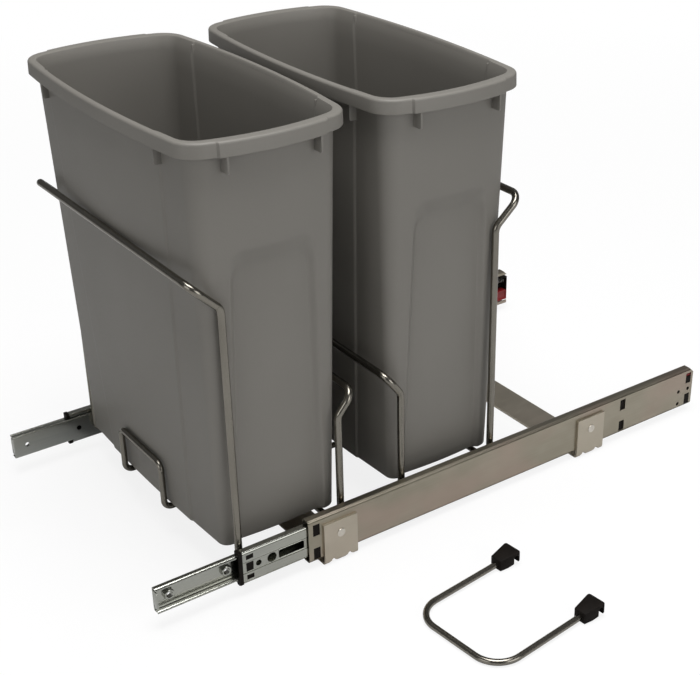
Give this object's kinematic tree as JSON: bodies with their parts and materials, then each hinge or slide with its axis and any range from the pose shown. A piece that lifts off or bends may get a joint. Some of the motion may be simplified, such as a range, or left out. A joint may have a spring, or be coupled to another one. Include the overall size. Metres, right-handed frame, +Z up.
{
  "type": "pull-out bin frame",
  "caption": "Pull-out waste bin frame: floor-mounted ball-bearing slides carry a bent-wire cradle that holds tapered plastic bins, with a loose clip-on pull handle.",
  "frame": {"origin": "on the cabinet floor, at the middle of the four floor-screw holes", "axes": "+Z up, -Y the way the frame is pulled out, +X to the right seen from the front"},
  "size_m": [0.5466, 0.6508, 0.4235],
  "materials": {
    "rail_steel": "satin",
    "zinc_steel": "satin",
    "ball_steel": "polished",
    "nickel_wire": "satin",
    "bin_plastic": "matt",
    "black_plastic": "matt",
    "red_plastic": "semi-gloss",
    "spring_steel": "satin"
  },
  "bodies": {
    "base": {"outer_rail_right": "rail_steel", "outer_rail_left": "rail_steel", "front_floor_strap": "rail_steel", "rear_floor_strap": "rail_steel", "strap_rivets": "zinc_steel", "rail_plugs": "black_plastic", "closer_tray_right": "black_plastic", "closer_tray_left": "black_plastic", "closer_clip_right": "red_plastic", "closer_clip_left": "red_plastic", "damper_tube_right": "black_plastic", "damper_tube_left": "black_plastic", "closer_spring_right": "spring_steel", "closer_spring_left": "spring_steel"},
    "cradle": {"inner_rail_right": "zinc_steel", "inner_rail_left": "zinc_steel", "bracket_nuts": "zinc_steel", "tongue_right": "zinc_steel", "tongue_left": "zinc_steel", "cradle_wire": "nickel_wire", "front_bin_loop": "nickel_wire", "rear_bin_loop": "nickel_wire", "cross_wires": "nickel_wire", "base_wire": "nickel_wire"},
    "mid_right": {"mid_rail_right": "zinc_steel", "mid_bumper_right": "black_plastic"},
    "outer_cage_right": {"outer_cage_right": "zinc_steel", "outer_balls_right": "ball_steel"},
    "inner_cage_right": {"inner_cage_right": "zinc_steel", "inner_balls_right": "ball_steel"},
    "catch_right": {"closer_catch_right": "red_plastic", "damper_rod_right": "zinc_steel"},
    "mid_left": {"mid_rail_left": "zinc_steel", "mid_bumper_left": "black_plastic"},
    "outer_cage_left": {"outer_cage_left": "zinc_steel", "outer_balls_left": "ball_steel"},
    "inner_cage_left": {"inner_cage_left": "zinc_steel", "inner_balls_left": "ball_steel"},
    "catch_left": {"closer_catch_left": "red_plastic", "damper_rod_left": "zinc_steel"},
    "front_bin": {"front_bin": "bin_plastic"},
    "rear_bin": {"rear_bin": "bin_plastic"},
    "handle": {"handle_wire": "nickel_wire", "handle_clips": "black_plastic"}
  },
  "joints": [
    {"name": "cradle_slide", "type": "slide", "parent": "base", "child": "cradle", "axis": [0, -1, 0], "range_m": [-0.15, 0.329]},
    {"name": "mid_slide_right", "type": "slide", "parent": "base", "child": "mid_right", "axis": [0, -1, 0], "range_m": [-0.0683, 0.1487]},
    {"name": "outer_cage_roll_right", "type": "slide", "parent": "base", "child": "outer_cage_right", "axis": [0, -1, 0], "range_m": [-0.0347, 0.0748]},
    {"name": "inner_cage_roll_right", "type": "slide", "parent": "base", "child": "inner_cage_right", "axis": [0, -1, 0], "range_m": [-0.1097, 0.2393]},
    {"name": "mid_slide_left", "type": "slide", "parent": "base", "child": "mid_left", "axis": [0, -1, 0], "range_m": [-0.0885, 0.193]},
    {"name": "outer_cage_roll_left", "type": "slide", "parent": "base", "child": "outer_cage_left", "axis": [0, -1, 0], "range_m": [-0.0448, 0.097]},
    {"name": "inner_cage_roll_left", "type": "slide", "parent": "base", "child": "inner_cage_left", "axis": [0, -1, 0], "range_m": [-0.1198, 0.2615]},
    {"name": "catch_slide_right", "type": "slide", "parent": "base", "child": "catch_right", "axis": [0, 1, 0], "range_m": [0, 0.03], "deforming": ["closer_spring_right"]},
    {"name": "catch_slide_left", "type": "slide", "parent": "base", "child": "catch_left", "axis": [0, 1, 0], "range_m": [0, 0.03], "deforming": ["closer_spring_left"]},
    {"name": "front_bin_lift", "type": "slide", "parent": "cradle", "child": "front_bin", "axis": [0, 0, 1], "range_m": [0, 0.4]},
    {"name": "rear_bin_lift", "type": "slide", "parent": "cradle", "child": "rear_bin", "axis": [0, 0, 1], "range_m": [0, 0.4]},
    {"name": "handle_lift", "type": "slide", "parent": "base", "child": "handle", "axis": [0, 0, 1], "range_m": [0, 0.3]}
  ],
  "couplings": [
    {"joint": "mid_slide_right", "follows": "cradle_slide", "ratio": 0.4489},
    {"joint": "outer_cage_roll_right", "follows": "cradle_slide", "ratio": 0.22445},
    {"joint": "inner_cage_roll_right", "follows": "cradle_slide", "ratio": 0.72445},
    {"joint": "mid_slide_left", "follows": "cradle_slide", "ratio": 0.5835},
    {"joint": "outer_cage_roll_left", "follows": "cradle_slide", "ratio": 0.29175},
    {"joint": "inner_cage_roll_left", "follows": "cradle_slide", "ratio": 0.79175}
  ]
}
